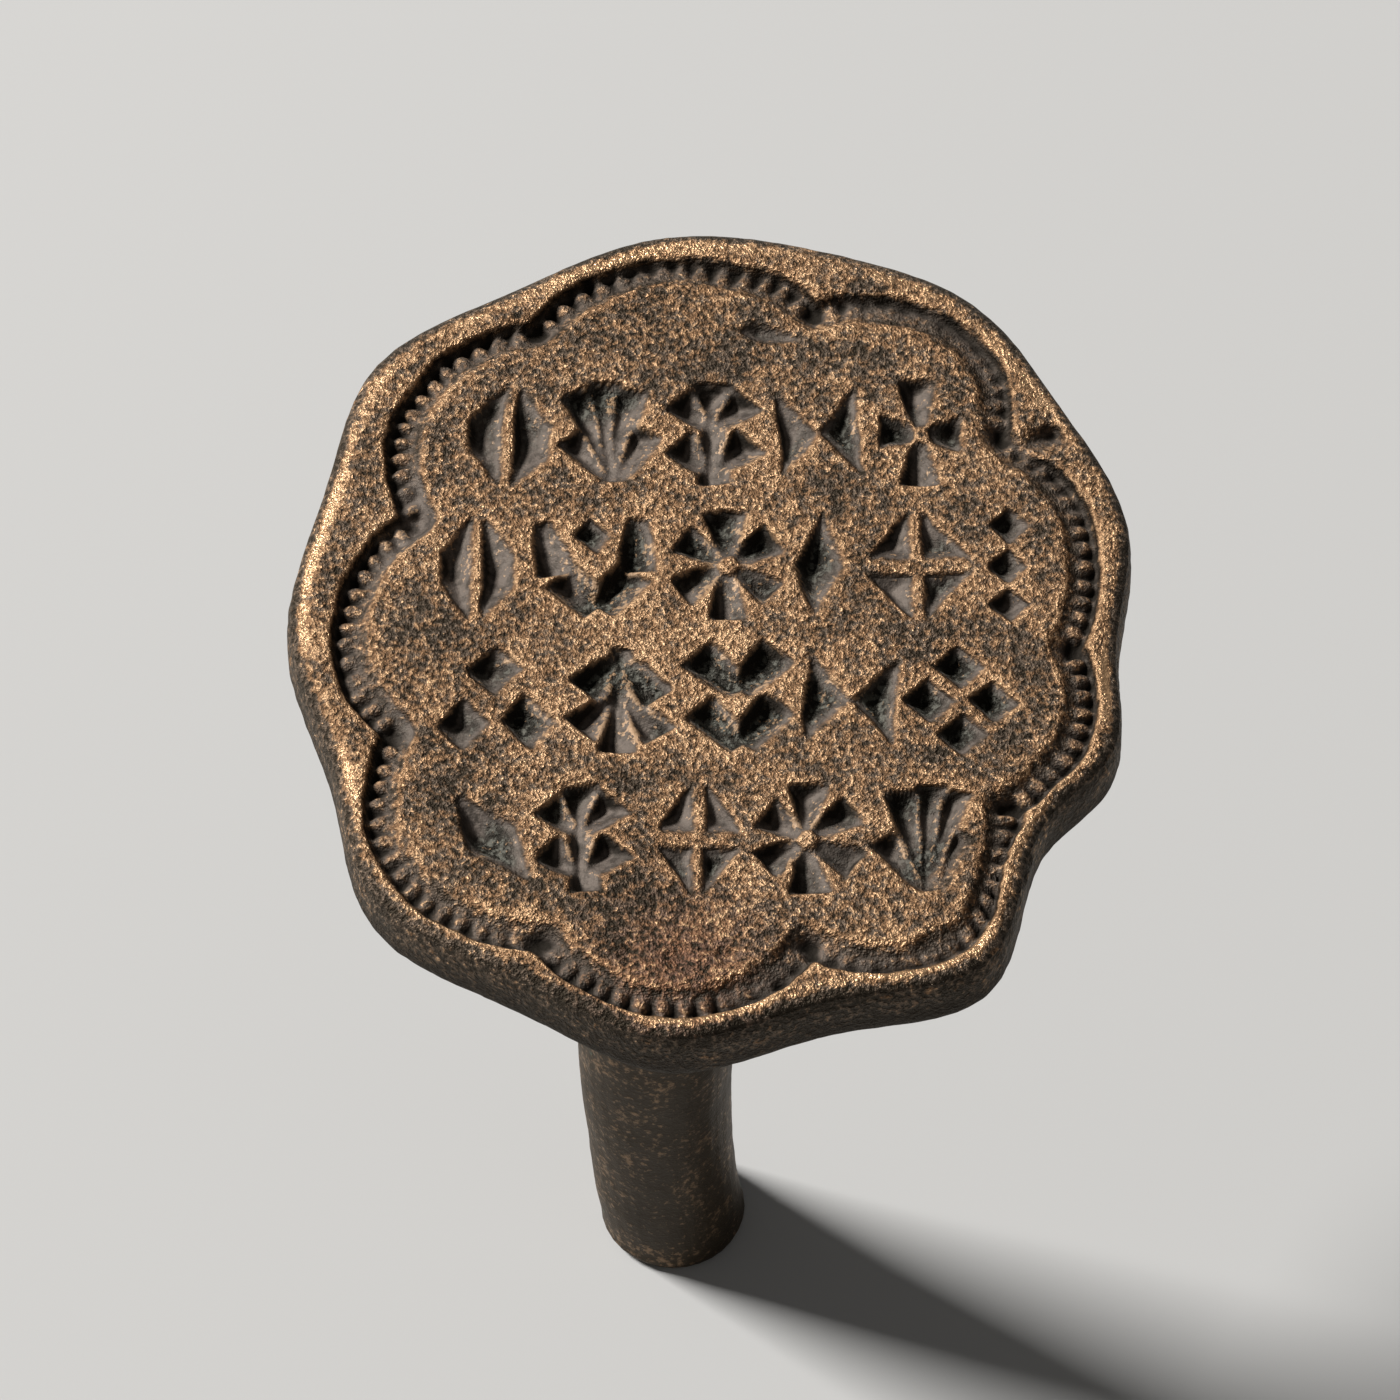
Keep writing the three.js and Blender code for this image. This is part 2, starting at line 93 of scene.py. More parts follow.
# The border channel and its beads
CHANNEL_FROM, CHANNEL_TO = 0.76, 0.82  # shares of the outline's reach where the border begins
CHANNEL_MIDDLE = 0.87
CHANNEL_DEPTH = 0.9 * MM
SUNK_FROM, SUNK_TO = 0.25 * MM, 0.4 * MM  # depths from which a place of the border counts as sunk
BEAD_PITCH = 1.0 * MM
BEAD_HEIGHT = 0.55 * MM
BEAD_GROWTH = 1  # steps of the raster by which the beads are fuller than in the solid
BEAD_FULLNESS = 0.6  # power that turns a bead's round top into a flatter, fuller one
BEAD_LOSS = 0.8  # share of their height that the beads have lost where they are worn most
RUB_STEPS = 10  # heights that one pitch of worn beads is averaged from
GAP_SIZE = 0.3 * MM  # gaps that are narrower than this are painted black, as painted shade
GAP_FALL = 0.1 * MM  # how far below its surroundings such a gap is black
GAP_FROM, GAP_TO = 0.45 * MM, 0.7 * MM  # depths from which a gap counts
BORDER_EASE = 0.45  # share by which the walls of the border are less black than those of the cuts
EASE_FROM, EASE_TO = 0.3 * MM, 0.5 * MM  # depths from which they are

# How wear has rounded the edges of the cuts, the steep walls and the rim
EDGE_WEAR = 0.085 * MM
WORN_EDGE = 0.14 * MM
WALL_WEAR = 0.18 * MM
ROLL_WEAR = 0.15 * MM
WALL_FROM, WALL_TO = 1.5, 2.6  # slopes between which a wall counts as steep
WAVER_END = 0.92  # the cuts' lines waver inside this share of the outline's reach
WAVER_SEEDS = (15, 17)  # across and along

# Which places of the face are dirty and which are rubbed
LIP_SIZE = 0.16 * MM  # what stands out from its surroundings this far away is rubbed bright
LIP_RISE = 0.05 * MM  # and this high
OPEN_SIZE = 0.7 * MM  # what lies below its surroundings this far away is darker
OPEN_RISE, OPEN_SHARE = 0.3 * MM, 0.5  # how far below, and how much that counts
CUT_SEEN, FULL_CUT = 0.04 * MM, 0.2 * MM  # depths at which a mark begins and is fully sunk
CHANNEL_SEEN, FULL_CHANNEL = 0.15 * MM, 0.8 * MM  # and the border channel
EASY_SLOPE, STEEP_SLOPE = 0.9, 1.9  # a cut's broad facet is below the first, its steep side above
STEEP_SEEN, STEEP_FULL = 0.03 * MM, 0.2 * MM  # depths from which a side counts as steep
ROUGH_SEEN, ROUGH_FULL = 0.2 * MM, 0.55 * MM  # and a floor as rough
LIGHT_MIDDLE_REACH, LIGHT_MIDDLE_SHARE = 11 * MM, 0.45  # the middle of the face is lighter this far out and this much
OUTSIDE_LOSS = 0.7  # how much less rubbed the outside of the rim is

# Shallow round dents in the face: x, y, radius and depth in mm
DENTS = (
    (-2.0, -18.6, 0.75, 0.2),
    (0.3, -18.9, 0.95, 0.22),
    (2.6, -18.7, 0.85, 0.24),
    (-10.4, 9.7, 0.65, 0.16),
    (-10.7, 10.9, 0.5, 0.12),
)
RED_PLACE = (0.4, -19.3)  # where the face has a reddish tint, in mm
RED_REACH = 3.6

# Uneven ground: height, size and seed of the lumps
WAVER = ((0.2 * MM, 2.6 * MM, 0), (0.07 * MM, 0.8 * MM, 1))  # its seeds count from WAVER_SEEDS
BEAD_PITS = (0.12 * MM, 0.75 * MM, 28)
CHANNEL_LUMPS = (0.12 * MM, 1.1 * MM, 14)
FLOOR_LUMPS = (0.07 * MM, 0.5 * MM, 25)
PLATE_GRAIN = ((0.025 * MM, 0.4 * MM, 11), (0.02 * MM, 0.9 * MM, 12))
PLATE_WAVES = (0.04 * MM, 4.5 * MM, 13)
PLATE_SINK = 0.09 * MM  # keeps that relief inside the solid
CUT_SMOOTHNESS = 0.8  # how much less grain the cuts have
SHANK_RELIEF = ((0.09 * MM, 4 * MM, 21), (0.035 * MM, 1.3 * MM, 22), (0.012 * MM, 0.5 * MM, 23))
BRAZE_RELIEF = ((0.1 * MM, 1.6 * MM, 31), (0.03 * MM, 0.5 * MM, 32))

# Patches: size and seed of the lumps, and the values between which a patch begins and is whole
BEAD_WEAR_PATCHES = (6 * MM, 27, -0.15, 0.3)
EDGE_WEAR_PATCHES = (5 * MM, 19, -0.2, 0.7)
ROUGH_PATCHES = (4.5 * MM, 24, -0.25, 0.1)
POLISH_PATCHES = (4 * MM, 26, -0.4, 0.5)

# The side and the back of the plate
SIDE_RINGS = 14
SIDE_TOP, SIDE_END = 0.72 * MM, 0.12 * MM  # from the face to the first, from the last to the back
COARSE_FROM = 1.6 * MM  # rings that are lower than this have half as many points
BACK_RINGS, BOSS_RINGS, LIP_RINGS, SOCKET_RINGS = 26, 6, 10, 7
BACK_PROBE = 4 * MM  # how far in from the plate's lower edge the height of its back is taken
# How far from its own height each outline is taken: the back's, the boss's two and the socket's
BACK_EDGE, BOSS_ROOT, BOSS_END, SOCKET_END = 0.1 * MM, 0.05 * MM, 0.05 * MM, 0.2 * MM
SOCKET_REACH = 3.5 * MM  # what is nearer the axis than this belongs to the socket
WALL_END = 0.2 * MM  # the wall ends this far over the back, and the back over the boss's end
SHADE_DEPTH = 2 * MM  # how far below the widest outline the side gets dark, as painted shade
WALL_SHADE, BACK_SHADE = 0.6, 0.25  # and how dark that painted shade makes it and the back there
SIDE_RUB, SIDE_SHADE_LOSS = -0.7, 0.8  # how rubbed the side is, and how much less where its shade is painted
RELAX_ROUNDS = 2

# The shank
SHANK_SIDES = 128
SHANK_STEP = 0.22 * MM
TENON_EDGE, TENON_RINGS = 0.3 * MM, 6  # the height of its chamfer, and the rings below that
FOOT_HEIGHT = 0.6 * MM
FOOT_LEVELS = (0.5, 0.4, 0.3, 0.2, 0.12, 0.05)  # of the rings round the foot's rim, in mm
SOLE_SHARES = (0.98, 0.8, 0.6, 0.4, 0.2)
FOOT_CALM = 1 * MM  # below this height the relief fades out

# The filler ring
BRAZE_SIDES, BRAZE_LEVELS = 192, 12
BRAZE_WALL_STEP = 3  # one ring of the inside for so many of the outside

# The looks. A noise has size, detail, roughness and shift.
DIE_NOISES = {
    "grain": (0.27 * MM, 2.5, 0.55, 0.0),
    "fine": (0.11 * MM, 1.5, 0.6, 0.3),
    "patch": (2.6 * MM, 3, 0.6, 0.7),
    "broad": (9 * MM, 2, 0.5, 1.3),
    "mottle": (0.6 * MM, 3, 0.65, 1.9),
    "speck": (0.36 * MM, 2, 0.6, 3.7),
    "tint": (0.55 * MM, 2, 0.6, 2.7),
}
SHANK_NOISES = {
    "grain": (0.32 * MM, 3, 0.65, 2.1),
    "fine": (0.13 * MM, 1.5, 0.6, 2.9),
    "patch": (2.5 * MM, 3, 0.6, 3.3),
    "spots": (1.6 * MM, 1, 0.5, 4.1),
}
BRAZE_NOISES = {"grain": (0.25 * MM, 3, 0.7, 5.3), "patch": (1.5 * MM, 2, 0.5, 5.9)}
WARM_GLOSS = (1.0, 0.86, 0.70, 1)  # the tint of the oxide's own gloss
DIE_GLOSS, DARK_GLOSS = 0.3, 0.25

# Between which values of a noise or sum each look begins and is whole
MID_SPAN, BRIGHT_SPAN, WARM_SPAN = (0.65, 0.88), (1.02, 1.16), (0.66, 0.90)
MOTTLE_SPAN, SPECK_SPAN = (0.34, 0.6), (0.46, 0.62)
SHANK_BARE_SPAN, GREEN_SPAN, BRAZE_BARE_SPAN = (0.78, 0.98), (0.84, 0.9), (0.55, 0.75)
BRAZE_ROUGH_SPAN = (0.3, 0.7)

# Roughness and metal share of the patina and of the barest metal, and the depth of the grain
DIE_ROUGHNESS, DIE_METAL, DIE_GRAIN = (0.54, 0.40), (0.2, 0.6), 0.3 * MM
SHANK_ROUGHNESS, SHANK_METAL, SHANK_GRAIN = (0.52, 0.4), (0.2, 0.6), 0.05 * MM
BRAZE_ROUGHNESS, BRAZE_METAL, BRAZE_GRAIN = (0.66, 0.5), 0.3, 0.06 * MM

# Colours, from the darkest to the lightest places where there are two
DIE_DARK = ((0.021, 0.0150, 0.0085), (0.038, 0.027, 0.0165))
DIE_MID = ((0.178, 0.130, 0.094), (0.33, 0.185, 0.095))
DIE_RED = (0.30, 0.130, 0.080)
DIE_BRIGHT = ((0.76, 0.45, 0.23), (0.70, 0.45, 0.26))
FACET = ((0.060, 0.049, 0.041), (0.145, 0.117, 0.098))
ROUGH_FLOOR = ((0.010, 0.010, 0.008), (0.120, 0.118, 0.098))
# The near black of the painted shade on steep sides, narrow gaps and the lower side and back
SHADE_BLACK = (0.010, 0.008, 0.006)
SHANK_DARK = ((0.013, 0.009, 0.005), (0.048, 0.034, 0.020))
SHANK_BARE = (0.20, 0.130, 0.08)
SHANK_GREEN = (0.10, 0.19, 0.14)
BRAZE_DARK = ((0.020, 0.015, 0.009), (0.060, 0.045, 0.028))
BRAZE_BARE = (0.20, 0.13, 0.08)


def tree_of(node):
    """A ray-casting tree of one solid of the frame."""
    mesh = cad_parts[node].data
    mesh.calc_loop_triangles()
    corners = [vertex.co for vertex in mesh.vertices]
    return BVHTree.FromPolygons(corners, [triangle.vertices for triangle in mesh.loop_triangles])


def middle_of(low, high):
    return (low.x + high.x) / 2, (low.y + high.y) / 2


def lumps(points, size, seed):
    """Smooth random values from -1 to 1 at points, in lumps about `size` across."""
    random = np.random.default_rng(seed)
    lattice = random.uniform(-1, 1, (NOISE_CELLS,) * 3)
    turn, _ = np.linalg.qr(random.normal(size=(3, 3)))
    at = points @ turn / size
    cell = np.floor(at).astype(int)
    share = at - cell
    share = share * share * (3 - 2 * share)
    total = np.zeros(len(points))
    for corner in np.ndindex(2, 2, 2):
        weight = np.prod(np.where(corner, share, 1 - share), axis=1)
        x, y, z = ((cell + corner) % NOISE_CELLS).T
        total += weight * lattice[x, y, z]
    return total


def relief(points, *layers):
    """Heights of uneven ground at points. A layer has the height, size and seed of its lumps."""
    return sum(height * lumps(points, size, seed) for height, size, seed in layers)


def patches(points, size, seed, low, high):
    """How far each point is in a patch, from 0 to 1."""
    return smoothstep(low, high, lumps(points, size, seed))


def smoothstep(low, high, value):
    share = np.clip((value - low) / (high - low), 0, 1)
    return share * share * (3 - 2 * share)


def rolled_drop(inset):
    """How far below the face the rim's round outer edge is, so far in from the widest outline."""
    return WIDEST_DROP * (1 - np.sqrt(1 - (1 - np.clip(inset / ROLL_WIDTH, 0, 1)) ** 2))


def around(centre, angles, radii, z):
    """Points at radii from the upright line through centre, all at height z."""
    x = centre[0] + np.cos(angles) * radii
    y = centre[1] + np.sin(angles) * radii
    return np.stack([x, y, np.broadcast_to(z, x.shape)], 1)


def outward(centre, points):
    """The level direction away from the upright line through centre, at each point."""
    way = points - np.array([*centre, 0])
    way[:, 2] = 0
    return way / np.maximum(np.linalg.norm(way, axis=1, keepdims=True), 1e-9)


def reach_in(tree, centre, angles, z):
    """How far a solid reaches from an upright line at each angle, met from outside."""
    radii = []
    for angle in angles:
        out = Vector((math.cos(angle), math.sin(angle), 0))
        start = Vector((centre[0], centre[1], z)) + out * FAR
        _, _, _, distance = tree.ray_cast(start, -out)
        radii.append(FAR - distance if distance is not None else np.nan)
    return np.array(radii)


def reach_out(tree, centre, angles, z):
    """How far a hollow reaches from an upright line at each angle, met from inside."""
    radii = []
    for angle in angles:
        out = Vector((math.cos(angle), math.sin(angle), 0))
        _, _, _, distance = tree.ray_cast(Vector((centre[0], centre[1], z)), out)
        radii.append(distance if distance is not None else np.nan)
    return np.array(radii)


def height_over(tree, points, start, way):
    """Height of the solid met at each (x, y) by a ray from height start, going up or down."""
    heights = []
    for x, y in points:
        hit, _, _, _ = tree.ray_cast(Vector((x, y, start)), way)
        heights.append(hit.z if hit is not None else np.nan)
    return np.array(heights)


class Shell:
    """Points and faces of one closed mesh, in rings that run anticlockwise seen from above."""

    def __init__(self):
        self.points = []
        self.faces = []
        self.count = 0

    def add(self, points):
        numbers = np.arange(self.count, self.count + len(points))
        self.points.append(np.asarray(points, float))
        self.count += len(points)
        return numbers

    def band(self, upper, lower):
        """Faces between two rings. The lower one has as many points as the upper, or half as many."""
        beside = np.roll(lower, -1)
        if len(upper) == len(lower):
            self.faces += np.stack([upper, lower, beside, np.roll(upper, -1)], 1).tolist()
            return
        even, odd = upper[0::2], upper[1::2]
        self.faces += np.stack([even, lower, odd], 1).tolist()
        self.faces += np.stack([lower, beside, odd], 1).tolist()
        self.faces += np.stack([beside, np.roll(even, -1), odd], 1).tolist()

    def down_through(self, rings, above=()):
        """Adds rings below one another and any ring above. Gives the numbers of the top and last."""
        numbers = [*above, *(self.add(ring) for ring in rings)]
        for upper, lower in zip(numbers, numbers[1:]):
            self.band(upper, lower)
        return numbers[0], numbers[-1]

    def close_below(self, ring, point):
        middle = np.full(len(ring), self.add([point])[0])
        self.faces += np.stack([ring, middle, np.roll(ring, -1)], 1).tolist()

    def close_above(self, ring, point):
        middle = np.full(len(ring), self.add([point])[0])
        self.faces += np.stack([middle, ring, np.roll(ring, -1)], 1).tolist()

    def add_grid(self, points, shape):
        """Adds a grid of points, each cell cut along its more level diagonal. Gives its outer ring."""
        numbers = self.add(points).reshape(shape)
        cells = [numbers[:-1, :-1], numbers[:-1, 1:], numbers[1:, 1:], numbers[1:, :-1]]
        a, b, c, d = np.stack(cells, 2).reshape(-1, 4).T
        z = points[:, 2]
        level_first = np.abs(z[a] - z[c]) <= np.abs(z[b] - z[d])
        self.faces += np.stack([a, b, np.where(level_first, c, d)], 1).tolist()
        self.faces += np.stack([np.where(level_first, a, b), c, d], 1).tolist()
        return border_of(numbers)

    def all_points(self):
        return np.concatenate(self.points)

    def mesh_object(self, name, points, material, **attributes):
        """The finished piece, with one number a point for each attribute."""
        mesh = bpy.data.meshes.new(name)
        mesh.from_pydata(points.tolist(), [], self.faces)
        for key, values in attributes.items():
            layer = mesh.attributes.new(key, "FLOAT", "POINT")
            layer.data.foreach_set("value", np.asarray(values, np.float32))
        mesh.materials.append(material)
        mesh.polygons.foreach_set("use_smooth", [True] * len(mesh.polygons))
        mesh.update()
        piece = bpy.data.objects.new(name, mesh)
        bpy.context.scene.collection.objects.link(piece)
        return piece


def relaxed(points, faces, free, rounds):
    """Points with the free ones moved towards the middle of their neighbours, to soften corners."""
    edges = np.array([(face[i - 1], face[i]) for face in faces for i in range(len(face))])
    edges = np.concatenate([edges, edges[:, ::-1]])
    count = np.bincount(edges[:, 0], minlength=len(points))[:, None]
    for _ in range(rounds):
        total = np.zeros_like(points)
        for axis in range(3):
            total[:, axis] = np.bincount(edges[:, 0], points[edges[:, 1], axis], len(points))
        points = np.where(free[:, None], (points + total / count) / 2, points)
    return points


class Paint:
    """Short calls for the nodes of one material. Sizes of patterns are real sizes."""

    def __init__(self, name):
        self.material = bpy.data.materials.new(name)
        self.material.use_nodes = True
        self.tree = self.material.node_tree
        self.shader = self.tree.nodes["Principled BSDF"]
        self.place = self.add("ShaderNodeTexCoord").outputs["Object"]

    def add(self, kind, **settings):
        node = self.tree.nodes.new(kind)
        for key, value in settings.items():
            setattr(node, key, value)
        return node

    def put(self, socket, value):
        if isinstance(value, bpy.types.NodeSocket):
            self.tree.links.new(value, socket)
        else:
            socket.default_value = value

    def math(self, operation, *values):
        node = self.add("ShaderNodeMath", operation=operation)
        for socket, value in zip(node.inputs, values):
            self.put(socket, value)
        return node.outputs[0]

    def plus(self, total, *parts):
        """A total with more values added to it, each by its weight."""
        for value, weight in parts:
            total = self.math("MULTIPLY_ADD", value, weight, total)
        return total

    def noise(self, size, detail, roughness, shift):
        """Noise from 0 to 1 with lumps about `size` across."""
        moved = self.add("ShaderNodeVectorMath", operation="ADD")
        self.put(moved.inputs[0], self.place)
        moved.inputs[1].default_value = (shift, shift / 2, -shift)
        node = self.add("ShaderNodeTexNoise")
        self.put(node.inputs["Vector"], moved.outputs[0])
        node.inputs["Scale"].default_value = 1 / size
        node.inputs["Detail"].default_value = detail
        node.inputs["Roughness"].default_value = roughness
        return node.outputs["Fac"]

    def noises(self, sorts):
        return [self.noise(*sort) for sort in sorts.values()]

    def attributes(self, *names):
        return [self.add("ShaderNodeAttribute", attribute_name=name).outputs["Fac"] for name in names]

    def span(self, value, low, high, to_low=0.0, to_high=1.0):
        node = self.add("ShaderNodeMapRange", interpolation_type="SMOOTHSTEP")
        sockets = ("Value", "From Min", "From Max", "To Min", "To Max")
        for name, number in zip(sockets, (value, low, high, to_low, to_high)):
            self.put(node.inputs[name], number)
        return node.outputs["Result"]

    def mix(self, share, first, second):
        node = self.add("ShaderNodeMix", data_type="RGBA")
        self.put(node.inputs["Factor"], share)
        self.put(node.inputs[6], first if isinstance(first, bpy.types.NodeSocket) else (*first, 1))
        self.put(node.inputs[7], second if isinstance(second, bpy.types.NodeSocket) else (*second, 1))
        return node.outputs[2]

    def bump(self, height, distance):
        node = self.add("ShaderNodeBump")
        node.inputs["Distance"].default_value = distance
        self.put(node.inputs["Height"], height)
        self.put(self.shader.inputs["Normal"], node.outputs["Normal"])

    def gloss(self, level):
        """A weak gloss of the oxide's own warm tint."""
        self.shader.inputs["Specular IOR Level"].default_value = level
        self.shader.inputs["Specular Tint"].default_value = WARM_GLOSS

    def finish(self, colour, metallic, roughness):
        self.put(self.shader.inputs["Base Color"], colour)
        self.put(self.shader.inputs["Metallic"], metallic)
        self.put(self.shader.inputs["Roughness"], roughness)
        return self.material


def die_bronze():
    """Cast bronze in grey and warm grains, with smooth grey facets in the cuts, and painted shade in
    black on their steep sides, in narrow gaps and low on the side.
    """
    paint = Paint("die_bronze")
    cut, steep, high, red, floor_rough, polish = paint.attributes(
        "cut", "steep", "high", "red", "floor_rough", "polish"
    )
    grain, fine, patch, broad, mottle, speck, tint = paint.noises(DIE_NOISES)

    rubbed = paint.plus(grain, (high, 0.14), (patch, 0.4), (broad, 0.2), (polish, 0.2))
    to_mid = paint.span(rubbed, *MID_SPAN)
    to_bright = paint.span(paint.plus(rubbed, (fine, 0.3)), *BRIGHT_SPAN)
    warmth = paint.span(paint.plus(tint, (patch, 0.5), (polish, 0.15), (high, 0.2)), *WARM_SPAN)

    dark = paint.mix(broad, *DIE_DARK)
    mid = paint.mix(warmth, *DIE_MID)
    mid = paint.mix(paint.math("MULTIPLY", red, 0.5), mid, DIE_RED)
    bright = paint.mix(broad, *DIE_BRIGHT)
    field = paint.mix(to_bright, paint.mix(to_mid, dark, mid), bright)

    facet = paint.mix(paint.span(mottle, *MOTTLE_SPAN), *FACET)
    rough_floor = paint.mix(paint.span(speck, *SPECK_SPAN), *ROUGH_FLOOR)
    facet = paint.mix(floor_rough, facet, rough_floor)
    shade = paint.plus(1.0, (to_bright, -0.5))
    colour = paint.mix(paint.math("MULTIPLY", cut, shade), field, facet)
    # Painted shade: steep sides, narrow gaps and the lower side and back go near black here
    colour = paint.mix(steep, colour, SHADE_BLACK)

    ground = paint.plus(grain, (fine, 0.5))
    flat = paint.plus(1.0, (cut, -0.8), (floor_rough, 0.5), (polish, -0.5))
    paint.bump(paint.math("MULTIPLY", ground, flat), DIE_GRAIN)
    roughness = paint.span(to_bright, 0, 1, *DIE_ROUGHNESS)
    roughness = paint.plus(roughness, (cut, 0.06), (polish, -0.12), (steep, 0.25))
    metallic = paint.plus(paint.span(to_mid, 0, 1, *DIE_METAL), (polish, 0.1))
    metallic = paint.math("MULTIPLY", metallic, paint.plus(1.0, (cut, -0.85)))
    paint.gloss(DIE_GLOSS)
    return paint.finish(colour, metallic, roughness)


def shank_bronze():
    """Dark grey-brown patina with faint bronze grains and a few green spots."""
    paint = Paint("shank_bronze")
    grain, fine, patch, spots = paint.noises(SHANK_NOISES)

    bare = paint.span(paint.plus(grain, (patch, 0.5)), *SHANK_BARE_SPAN)
    colour = paint.mix(bare, paint.mix(patch, *SHANK_DARK), SHANK_BARE)
    green = paint.span(paint.plus(spots, (grain, 0.2)), *GREEN_SPAN)
    colour = paint.mix(green, colour, SHANK_GREEN)

    paint.bump(paint.plus(grain, (fine, 0.4)), SHANK_GRAIN)
    paint.gloss(DARK_GLOSS)
    metallic = paint.span(bare, 0, 1, *SHANK_METAL)
    return paint.finish(colour, metallic, paint.span(bare, 0, 1, *SHANK_ROUGHNESS))


def braze_metal():
    """Rough, dull filler metal."""
    paint = Paint("braze_metal")
    grain, patch = paint.noises(BRAZE_NOISES)
    bare = paint.span(grain, *BRAZE_BARE_SPAN)
    colour = paint.mix(bare, paint.mix(patch, *BRAZE_DARK), BRAZE_BARE)
    paint.bump(grain, BRAZE_GRAIN)
    paint.gloss(DARK_GLOSS)
    roughness = paint.span(grain, *BRAZE_ROUGH_SPAN, *BRAZE_ROUGHNESS)
    return paint.finish(colour, BRAZE_METAL, roughness)


class Plate:
    """Measures of the die plate's solid, and of the line that the shank stands on."""

    def __init__(self):
        self.tree = tree_of("die_plate")
        self.low, self.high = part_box("die_plate")
        self.centre = middle_of(self.low, self.high)
        self.axis = middle_of(*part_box("braze_fillet"))
        self.top, self.bottom = self.high.z, self.low.z
        self.widest = self.top - WIDEST_DROP
        self.angles = np.linspace(0, TURN, 4 * FACE_CELLS, endpoint=False)
        self.outline = reach_in(self.tree, self.centre, self.angles, self.widest) - FACE_INSET
        back_place = (self.centre[0], self.low.y + BACK_PROBE)
        self.back = height_over(self.tree, [back_place], self.bottom - FAR, UP)[0]

    def along(self, values, angle):
        """The value at each angle, from one value for each of the outline's angles."""
        return np.interp(angle % TURN, self.angles, values, period=TURN)


class Raster:
    """Heights on an even grid over the die face."""

    def __init__(self, plate):
        self.plate = plate
        low, high = plate.low, plate.high
        margin = RASTER_MARGIN * RASTER_PITCH
        self.left, self.front = low.x - margin, low.y - margin
        columns = int((high.x - low.x + 2 * margin) / RASTER_PITCH) + 1
        rows = int((high.y - low.y + 2 * margin) / RASTER_PITCH) + 1
        right, ahead = np.arange(columns) * RASTER_PITCH, np.arange(rows) * RASTER_PITCH
        x, y = np.meshgrid(self.left + right, self.front + ahead)
        heights = height_over(plate.tree, np.stack([x.ravel(), y.ravel()], 1), high.z + FAR, DOWN)
        heights = np.where(np.isnan(heights), plate.widest, np.maximum(heights, plate.widest))
        self.heights = heights.reshape(rows, columns)

        x, y = x - plate.centre[0], y - plate.centre[1]
        self.angle, self.away = np.arctan2(y, x), np.hypot(x, y)
        self.share = self.away / plate.along(plate.outline, self.angle)
        x, y = np.meshgrid(right, ahead)
        self.points = np.stack([x.ravel(), y.ravel(), np.zeros(x.size)], 1)

    def sample(self, grid, x, y):
        """The grid's value at each (x, y), between its four nearest places."""
        column = np.clip((x - self.left) / RASTER_PITCH, 0, grid.shape[1] - 1.001)
        row = np.clip((y - self.front) / RASTER_PITCH, 0, grid.shape[0] - 1.001)
        i, j = column.astype(int), row.astype(int)
        u, v = column - i, row - j
        near = grid[j, i] * (1 - u) + grid[j, i + 1] * u
        far = grid[j + 1, i] * (1 - u) + grid[j + 1, i + 1] * u
        return near * (1 - v) + far * v

    def sample_round(self, reach, angle):
        """The height at each reach and angle from the plate's centre."""
        x = self.plate.centre[0] + reach * np.cos(angle)
        y = self.plate.centre[1] + reach * np.sin(angle)
        return self.sample(self.heights, x, y)

    def blend(self, heights, share):
        self.heights = self.heights + (heights - self.heights) * share

    def sunk_border(self):
        """Where the floor of the border channel is, from 0 to 1."""
        in_ring = smoothstep(CHANNEL_FROM, CHANNEL_TO, self.share)
        return in_ring * smoothstep(SUNK_FROM, SUNK_TO, self.plate.top - self.heights)

    def missing_rim(self, edge, tilt):
        """How far the channel has to move in at each angle to leave a rim that is wide enough."""
        angles = self.plate.angles
        missing = np.zeros(len(angles))
        for inset in np.arange(RIM_PROBE, RIM_LEAST, RIM_PROBE_STEP):
            height = self.sample_round(edge - inset / np.cos(tilt), angles)
            short = height < self.plate.top - rolled_drop(inset) - RIM_LOST
            missing = np.where(short, np.maximum(missing, RIM_LEAST - inset), missing)
        spread = int(MOVE_SPREAD / angles[1])
        for together in (np.max, np.mean):
            missing = together([np.roll(missing, step) for step in range(-spread, spread + 1)], axis=0)
        return missing

    def make_rim_whole(self):
        """Moves the channel in, and fills up the rim, where the rim is too thin."""
        edge = self.plate.outline + FACE_INSET
        tilt = np.arctan(np.gradient(np.log(edge), self.plate.angles))
        missing = self.missing_rim(edge, tilt)
        here, lean, move = (self.plate.along(values, self.angle) for values in (edge, tilt, missing))
        inset = (here - self.away) * np.cos(lean)
        fade = (1 - smoothstep(MOVE_WHOLE, MOVE_NONE, inset)) * (inset > 0)
        moved = self.sample_round(self.away + move * fade, self.angle)
        on_rim = (inset > 0) & (inset < RIM_LEAST) & (move > MOVE_SEEN)
        rim = np.maximum(self.heights, self.plate.top - rolled_drop(inset))
        self.heights = np.where(on_rim, rim, moved)

    def swollen(self, steps):
        """The heights with everything that stands up made thicker by so many steps all round."""
        grid = self.heights
        for _ in range(steps):
            grid = np.max([np.roll(grid, way, axis) for axis in (0, 1) for way in (-1, 0, 1)], axis=0)
        return grid

    def fuller(self, floor, height, power):
        """The heights with what stands up to `height` over the floor made flatter on top and fuller."""
        rise = np.clip((self.heights - floor) / height, 0, 1)
        return self.heights + height * (rise**power - rise)

    def rubbed_along(self, length):
        """The heights averaged over a length along the outline, so that no beads are left."""
        outline = self.plate.outline
        total = np.zeros_like(self.heights)
        turns = (np.arange(RUB_STEPS) + 0.5) / RUB_STEPS - 0.5
        for turn in turns * length / (CHANNEL_MIDDLE * outline.mean()):
            turned = self.angle + turn
            total += self.sample_round(self.share * self.plate.along(outline, turned), turned)
        return total / RUB_STEPS

